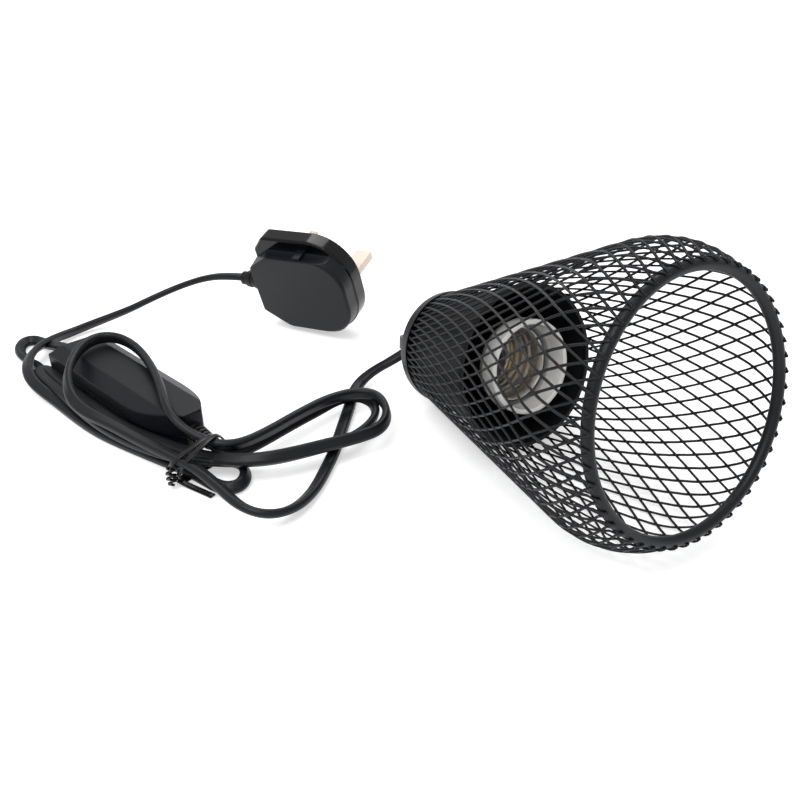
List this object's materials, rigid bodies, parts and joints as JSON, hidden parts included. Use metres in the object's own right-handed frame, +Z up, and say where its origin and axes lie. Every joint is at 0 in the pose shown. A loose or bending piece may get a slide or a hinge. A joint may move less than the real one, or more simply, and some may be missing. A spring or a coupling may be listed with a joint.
{
  "type": "heat lamp guard",
  "caption": "Black wire mesh heat lamp guard with a porcelain screw socket in a dark cup, lying on its side with its tied cord, in-line box and mains plug.",
  "frame": {"origin": "centre of the lying guard's outline on the surface under it, cord left out", "axes": "+X from the narrow plate toward the wide mouth along the surface, +Y to the left of that, +Z up from the surface"},
  "size_m": [0.2846, 0.1991, 0.0959],
  "materials": {
    "cage_paint": "satin",
    "plate_paint": "satin",
    "cup_paint": "matte",
    "porcelain": "gloss",
    "shell_nickel": "satin",
    "contact_brass": "satin",
    "holder_steel": "satin",
    "loop_paint": "satin",
    "grip_plastic": "matte",
    "cord_sheath": "satin",
    "tie_plastic": "satin",
    "box_plastic": "satin",
    "screw_steel": "satin",
    "plug_plastic": "satin",
    "rim_plastic": "gloss",
    "pin_brass": "satin",
    "sleeve_plastic": "gloss",
    "carrier_plastic": "satin"
  },
  "bodies": {
    "root": {"mesh_guard": "cage_paint", "mouth_ring": "cage_paint", "top_plate": "plate_paint", "lamp_cup": "cup_paint", "porcelain_body": "porcelain", "screw_shell": "shell_nickel", "centre_contact": "contact_brass", "threaded_nipple": "holder_steel", "holder_bridge": "holder_steel", "nipple_nut": "holder_steel", "terminals": "contact_brass", "hanging_loop": "loop_paint", "cord_grip": "grip_plastic", "lamp_cord": "cord_sheath", "plug_cord": "cord_sheath", "left_loop": "cord_sheath", "top_loop": "cord_sheath", "cord_bundle": "cord_sheath", "big_loops": "cord_sheath", "small_loop": "cord_sheath", "cord_tie": "tie_plastic", "switch_cover": "box_plastic", "switch_base": "box_plastic", "switch_screws": "screw_steel", "right_relief": "box_plastic", "left_relief": "box_plastic", "plug_cover": "plug_plastic", "plug_base": "rim_plastic", "earth_pin": "pin_brass", "live_pin": "pin_brass", "neutral_pin": "pin_brass", "pin_sleeves": "sleeve_plastic", "fuse_carrier": "carrier_plastic", "plug_collar": "plug_plastic"}
  },
  "joints": []
}
